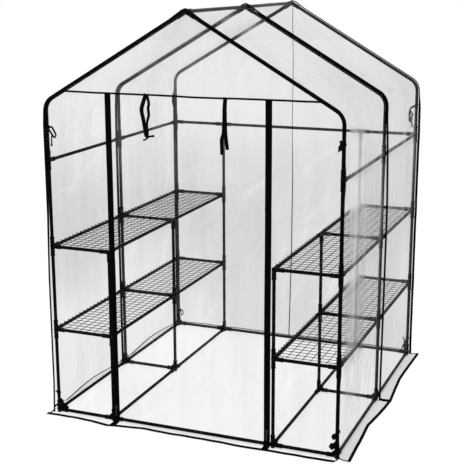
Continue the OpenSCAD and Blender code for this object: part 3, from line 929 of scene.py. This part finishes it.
class GREENHOUSE_OT_zips(bpy.types.Operator):
    """The two zips of the door: tape, rows of teeth and slider"""

    bl_idname = "greenhouse.zips"
    bl_label = "Zips"

    def execute(self, context):
        for name, x in (("left_zip", -zip_x), ("right_zip", zip_x)):
            path = zip_path(x, zip_lift)
            band = ribbon(path, (1, 0, 0), zip_width, zip_gauge)
            cords = [ribbon(path + (d, -0.0006, 0.0003), (1, 0, 0), coil_width, coil_gauge, 0.8, 8)
                     for d in (-coil_x, coil_x)]
            teeth = self.teeth(path, context.scene.greenhouse_tape.tooth_pitch)
            piece = add_piece(name, [band, *cords, teeth], "black_tape", ("door_zips",))
            pull = add_piece(name + "_slider", self.slider(x), "black_tape", ("door_zips",),
                             ("slider_metal", slider_material))
            pull["part_of"] = name
        return {"FINISHED"}

    def teeth(self, path, spacing):
        """Teeth of a coil zip: one eight-cornered block copied to evenly spaced points of the
        path, on its left and right by turns, turned with the path and narrower at its top."""
        run = lengths(path)
        at = np.arange(spacing, run[-1] - spacing, spacing)
        centre, ahead = (np.stack([np.interp(at, run, row) for row in rows.T], axis=-1)
                         for rows in (path, np.gradient(path, axis=0)))
        ahead, side = unit(ahead), np.array([1.0, 0, 0])
        up = unit(np.cross(ahead, side))
        up *= np.where(up[:, 1:2] > up[:, 2:3], -1, 1)
        hand = np.where(np.arange(len(at)) % 2, 1.0, -1.0)[:, None]
        wide, long, high = tooth
        centre = centre + hand * 0.0011 * side + 0.0009 * up
        corners = np.array([[a, b, c] for c in (-1, 1) for b in (-1, 1) for a in (-1, 1)], float)
        taper = 1 - 0.25 * (corners[:, 2] > 0)
        points = (centre[:, None]
                  + wide * (corners[:, 0] * taper)[None, :, None] * side
                  + long * (corners[:, 1] * taper)[None, :, None] * ahead[:, None]
                  + high * corners[:, 2][None, :, None] * up[:, None])
        block = np.array([[0, 2, 3, 1], [4, 5, 7, 6], [0, 1, 5, 4], [2, 6, 7, 3], [0, 4, 6, 2],
                          [1, 3, 7, 5]])
        quads = (block[None] + 8 * np.arange(len(at))[:, None, None]).reshape(-1, 4)
        verts = points.reshape(-1, 3)
        return outwards((verts, quads, [], np.zeros((len(verts), 2))))

    def slider(self, x):
        """A slider: a rounded body that narrows downwards, its bridge and a hanging pull."""
        middle_z, low, high = 0.075, 0.062, 0.088
        y = on_end(x, middle_z, False)[1] - 0.0045
        z = np.linspace(high, low, 9)
        body = ribbon(xyz(x, y, z), (1, 0, 0), np.interp(z, [low, high], [0.0085, 0.0125]),
                      0.0052, 0.5)
        turn = np.linspace(0, math.pi, 11)
        bridge = xyz(x, y - 0.0022 - 0.0028 * np.sin(turn), middle_z + 0.008 * np.cos(turn))
        drop = np.linspace(0, 1, 12)
        pull = xyz(x + 0.001 * drop, y - 0.0046 - 0.002 * drop, 0.0725 - 0.034 * drop)
        return [body, ribbon(bridge, (1, 0, 0), 0.003, 0.0014, 0.6, 8),
                ribbon(pull, (1, 0, 0), 0.0048 + 0.003 * drop, 0.0014, 0.5)]


def tie_strip(x, points, width, y, gauge=tie_gauge, roll=0.0, count=40):
    """A strip of tape hanging in front of the film: the smooth path at y through points that are
    (right of x, up from the door seam) in millimetres. At the share t of the path, its width is
    turned about it by roll times sin(1.5 pi t) t^0.3."""
    flat = catmull(np.array(points) / 1000 + (x, seam_z), count)
    share = np.linspace(0, 1, count)
    turn = roll * np.sin(share * math.pi * 1.5) * share ** 0.3
    return ribbon(xyz(flat[:, 0], y, flat[:, 1]), xyz(np.cos(turn), np.sin(turn), 0.0),
                  width, gauge)


class GREENHOUSE_OT_ties(bpy.types.Operator):
    """The two ties that hold the rolled door, and the ties at the corner posts"""

    bl_idname = "greenhouse.ties"
    bl_label = "Ties"

    def execute(self, context):
        width = context.scene.greenhouse_tape.strap_width
        y = -half_depth - 0.006
        x = middle("left_door_tie", 0)
        left = [
            tie_strip(x, ((2, 3), (-10, -27), (-20, -58), (-21, -76), (-13, -114), (-9, -145),
                          (0, -180)), 1.15 * width, y, roll=0.2),
            tie_strip(x, ((6, 3), (15.5, -37), (12, -59), (14, -90), (5, -125), (7, -166)),
                      0.8 * width, y - 0.002, roll=0.3),
            lump((x + 0.001, y - 0.003, seam_z - 0.171), (0.0135, 0.007, 0.020)),
            tie_strip(x, ((5, -182), (18, -184), (30, -181), (38, -181)), 0.0085, y - 0.004,
                      0.003),
            lump((x + 0.035, y - 0.004, seam_z - 0.181), (0.0062, 0.005, 0.0062)),
            tie_strip(x, ((12, -186), (0, -196), (-15, -203)), 0.0075, y - 0.003, 0.003)]
        left = add_piece("left_door_tie_straps", left, "black_tape", ("left_door_tie",))
        x = middle("right_door_tie", 0)
        right = [
            tie_strip(x, ((-4, 3), (-8, -40), (-9, -95), (-12, -150), (-21, -179), (-21, -205),
                          (-20, -246)), width, y, roll=0.15),
            tie_strip(x, ((-1, 3), (-3, -40), (-2.5, -95), (-1, -150), (1.5, -178),
                          (6.5, -222)), 0.95 * width, y - 0.0025, roll=-0.15)]
        right = add_piece("right_door_tie_straps", right, "black_tape", ("right_door_tie",))
        parts = []
        for hand in (-1, 1):
            for end in (-1, 1):
                for z in (tie_low.z + 0.035, tie_high.z - 0.006):
                    parts += self.corner(hand, end, z)
        corner = add_piece("corner_post_ties", parts, "black_tape", ("corner_ties",))
        return {"FINISHED"}

    def corner(self, hand, end, z):
        """A tie at one corner post: a turn of tape round the post, a knot beside it, and the loops
        and tails that its entry lists as points (in from the post, up) in millimetres."""
        turn = np.linspace(0, 2 * math.pi, 28)
        r = tube_r + 0.0012
        ring = xyz(hand * post_x + r * np.cos(turn), end * post_y + r * np.sin(turn),
                   z + 0.0012 * np.sin(2 * turn))
        parts = [ribbon(ring, (0, 0, 1), 0.009, tie_gauge, sections=8)]
        place = ("front" if end < 0 else "rear", "left" if hand < 0 else "right", z > rail_z)
        knots, thick, strips = corner_bows[place]
        for inward, up, wide, tall, back in np.array(knots) / 1000:
            parts.append(lump((hand * (post_x - inward), end * post_y + back, z + up),
                              (wide, knot_depth, tall), depth=0.2, rows=10, columns=14))
        for width, points in strips:
            inward, up = catmull(np.array(points) / 1000, 12 * len(points)).T
            y = end * (post_y - 0.001) - 0.0012 * end * np.sin(90 * up)
            path = xyz(hand * (post_x - inward), y, z + up)
            parts.append(ribbon(path, (0, 0.9, 0.45), width / 1000, thick / 1000, sections=8))
        return parts


# Bows of the corner ties: knots as (in from the post, up, half width, half height, further
# back), thickness of the folded tape, and strips as (width, points), all in millimetres
corner_bows = {
    ("rear", "left", False): (((12, 0, 6.5, 7.5, 0),), 2.2, (
        (8, ((12, 0), (26, -4), (30, -24), (18, -30), (12, -2))),)),
    ("front", "left", True): (((9, -4, 8, 8, 0), (19.6, -86, 4, 6, 0)), 4.8, (
        (9, ((6, -4), (24, -3), (42, -33), (39, -49), (29, -46), (21, -33), (8, -14))),
        (6.5, ((22, -40), (19, -56), (20, -74), (19, -88))))),
    ("front", "right", True): (
        ((5, -4, 13, 15, 0), (15, -21, 10, 15, 0), (13, 5, 7, 7, 0), (-2, -6, 12, 9, 0)), 5.0, (
            (8, ((14, -20), (21, -31), (24, -38))),)),
    ("front", "right", False): (
        ((15, 1, 12, 15, 0), (4, 10, 11, 14, 0), (-1, 18, 7, 9, 26), (22, -46, 15, 17, 0),
         (7, -36, 13, 16, 0)), 5.0, (
            (8, ((20, -40), (30, -50), (37, -50))),)),
    ("front", "left", False): (
        ((24, -62, 17, 15, 0), (13, -46, 12, 19, 0), (40, -70, 14, 10, 0)), 4.0, (
            (9, ((-4, 5), (-12, 5), (-18, 5))), (8, ((30, -54), (42, -56), (48, -52))))),
    ("rear", "left", True): (((0, -29, 12, 42, -27), (2, -6, 9, 9, -12)), 4.0, (
        (8, ((2, -70), (-4, -78), (-8, -86))),)),
    ("rear", "right", True): (
        ((8, -8, 7, 8, 0), (31, -42, 8, 13, 0), (33, -78, 8, 17, 0)), 8.0, (
            (14, ((4, -8), (16, -10), (27, -16), (35, -34), (35, -64), (32, -94))),
            (10, ((18, -44), (25, -80), (22, -100), (19, -122))))),
    ("rear", "right", False): (
        ((9, -28, 13, 15, 0), (13, -50, 16, 16, 0)), 4.0, (
            (8, ((8, -20), (20, -8), (24, 4))), (8, ((12, -50), (28, -62), (32, -70))))),
}


class GREENHOUSE_OT_frame(bpy.types.Operator):
    """Finishes of the steel tubes, the moulded plugs and the wire shelves"""

    bl_idname = "greenhouse.frame"
    bl_label = "Frame finishes"

    def execute(self, context):
        colours = context.scene.greenhouse_frame
        tube = coat_material("tube_coat", colours.tube, 0.36, 1400.0, 0.0001, 0.4)
        plug = coat_material("moulded_plug", colours.plug, 0.5, 2200.0, 0.00015, 0.25)
        wire = coat_material("wire_coat", colours.wire, 0.42, 900.0, 0.0001, 0.3)
        for name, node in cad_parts.items():
            finish = (plug if name.endswith("connectors") else
                      wire if name.endswith("_shelf") else tube)
            if node.hide_render:
                continue
            if not node.material_slots:
                node.data.materials.append(finish)
            for slot in node.material_slots:
                slot.material = finish
        return {"FINISHED"}


class GREENHOUSE_OT_stage(bpy.types.Operator):
    """Camera, lamps, room light and floor"""

    bl_idname = "greenhouse.stage"
    bl_label = "Stage"

    def execute(self, context):
        scene = context.scene
        stage = scene.greenhouse_stage
        scene.view_settings.view_transform = "Standard"
        a, e = stage.azimuth, stage.elevation
        back = Vector((math.sin(a) * math.cos(e), -math.cos(a) * math.cos(e), math.sin(e)))
        camera = bpy.data.cameras.new("camera")
        camera.lens, camera.sensor_width, camera.clip_end = stage.lens, 36, 200
        scene.camera = self.put("camera", camera, stage.place, -back, stage.roll)
        self.lamp("key_lamp", (-3.6, -4.6, 4.6), (2.6, 2.6), stage.key)
        self.lamp("fill_lamp", (4.6, -2.2, 3.2), (1.0, 3.0), stage.fill)
        self.lamp("back_lamp", (-1.5, 5.5, 5.5), (3.2, 1.2), 0.6 * stage.fill)
        self.room(scene, stage.ambient)
        self.floor(scene)
        return {"FINISHED"}

    def put(self, name, data, place, ahead, roll=0.0):
        """A camera or lamp at a place, facing ahead and turned about that by roll."""
        thing = bpy.data.objects.new(name, data)
        thing.location = place
        thing.rotation_mode = "QUATERNION"
        thing.rotation_quaternion = (
            ahead.to_track_quat("-Z", "Y") @ Quaternion((0, 0, 1), roll))
        bpy.context.scene.collection.objects.link(thing)
        return thing

    def lamp(self, name, place, size, power):
        """A soft rectangular lamp aimed at the middle of the greenhouse."""
        light = bpy.data.lights.new(name, "AREA")
        light.shape, light.energy = "RECTANGLE", power
        light.size, light.size_y = size
        lamp = self.put(name, light, place, Vector((0, 0, 0.9)) - Vector(place))
        lamp.visible_camera = lamp.visible_transmission = False

    def room(self, scene, ambient):
        """White room: strength 1 where it is seen, and the ambient strength where it lights."""
        scene.world = bpy.data.worlds.new("room")
        nodes = Nodes(scene.world)
        lit, shown = (nodes.add("Background", {"Color": (1, 1, 1, 1), "Strength": strength})
                      for strength in (ambient, 1.0))
        nodes.add("OutputWorld", {"Surface": nodes.blend(nodes.seen(), lit, shown)})

    def floor(self, scene):
        """A pale round floor. Part of what is seen of it glows, so that it meets the white room,
        and the rest takes light and shadow."""
        radius, corners = 30, 96
        turn = np.linspace(0, 2 * math.pi, corners, endpoint=False)
        ring = xyz(radius * np.cos(turn), radius * np.sin(turn), -0.0006)
        mesh = bpy.data.meshes.new("floor")
        mesh.from_pydata(ring.tolist(), [], [list(range(corners))])
        floor = bpy.data.objects.new("floor", mesh)
        scene.collection.objects.link(floor)
        nodes = Nodes(bpy.data.materials.new("pale_floor"))
        matt = nodes.add("BsdfDiffuse", {"Color": (0.8, 0.8, 0.8, 1)})
        glow = nodes.add("Emission", {"Color": (1, 1, 1, 1), "Strength": 1.2})
        share = nodes.math("MULTIPLY", nodes.seen(), 0.8)
        mesh.materials.append(nodes.done(nodes.blend(share, matt, glow)))


class GREENHOUSE_PT_panel(bpy.types.Panel):
    """Lists the steps that build the greenhouse's looks"""

    bl_idname = "GREENHOUSE_PT_panel"
    bl_label = "Film greenhouse"
    bl_space_type = "VIEW_3D"
    bl_region_type = "UI"
    bl_category = "Greenhouse"

    def draw(self, context):
        for step in steps:
            self.layout.operator(step.bl_idname)
        for group in settings:
            values = getattr(context.scene, group)
            for key in values.bl_rna.properties.keys():
                if key not in ("rna_type", "name"):
                    self.layout.prop(values, key)


settings = {"greenhouse_film": FilmSettings, "greenhouse_tape": TapeSettings,
            "greenhouse_frame": FrameSettings, "greenhouse_stage": StageSettings}
steps = (GREENHOUSE_OT_stage, GREENHOUSE_OT_cover, GREENHOUSE_OT_ends, GREENHOUSE_OT_flaps,
         GREENHOUSE_OT_tapes, GREENHOUSE_OT_zips, GREENHOUSE_OT_ties, GREENHOUSE_OT_frame)


def register():
    for name, group in settings.items():
        bpy.utils.register_class(group)
        setattr(bpy.types.Scene, name, PointerProperty(type=group))
    for item in (*steps, GREENHOUSE_PT_panel):
        bpy.utils.register_class(item)


def unregister():
    for item in (GREENHOUSE_PT_panel, *reversed(steps)):
        bpy.utils.unregister_class(item)
    for name, group in settings.items():
        delattr(bpy.types.Scene, name)
        bpy.utils.unregister_class(group)


def main():
    register()
    for step in steps:
        family, name = step.bl_idname.split(".")
        getattr(getattr(bpy.ops, family), name)()


if __name__ == "__main__":
    main()
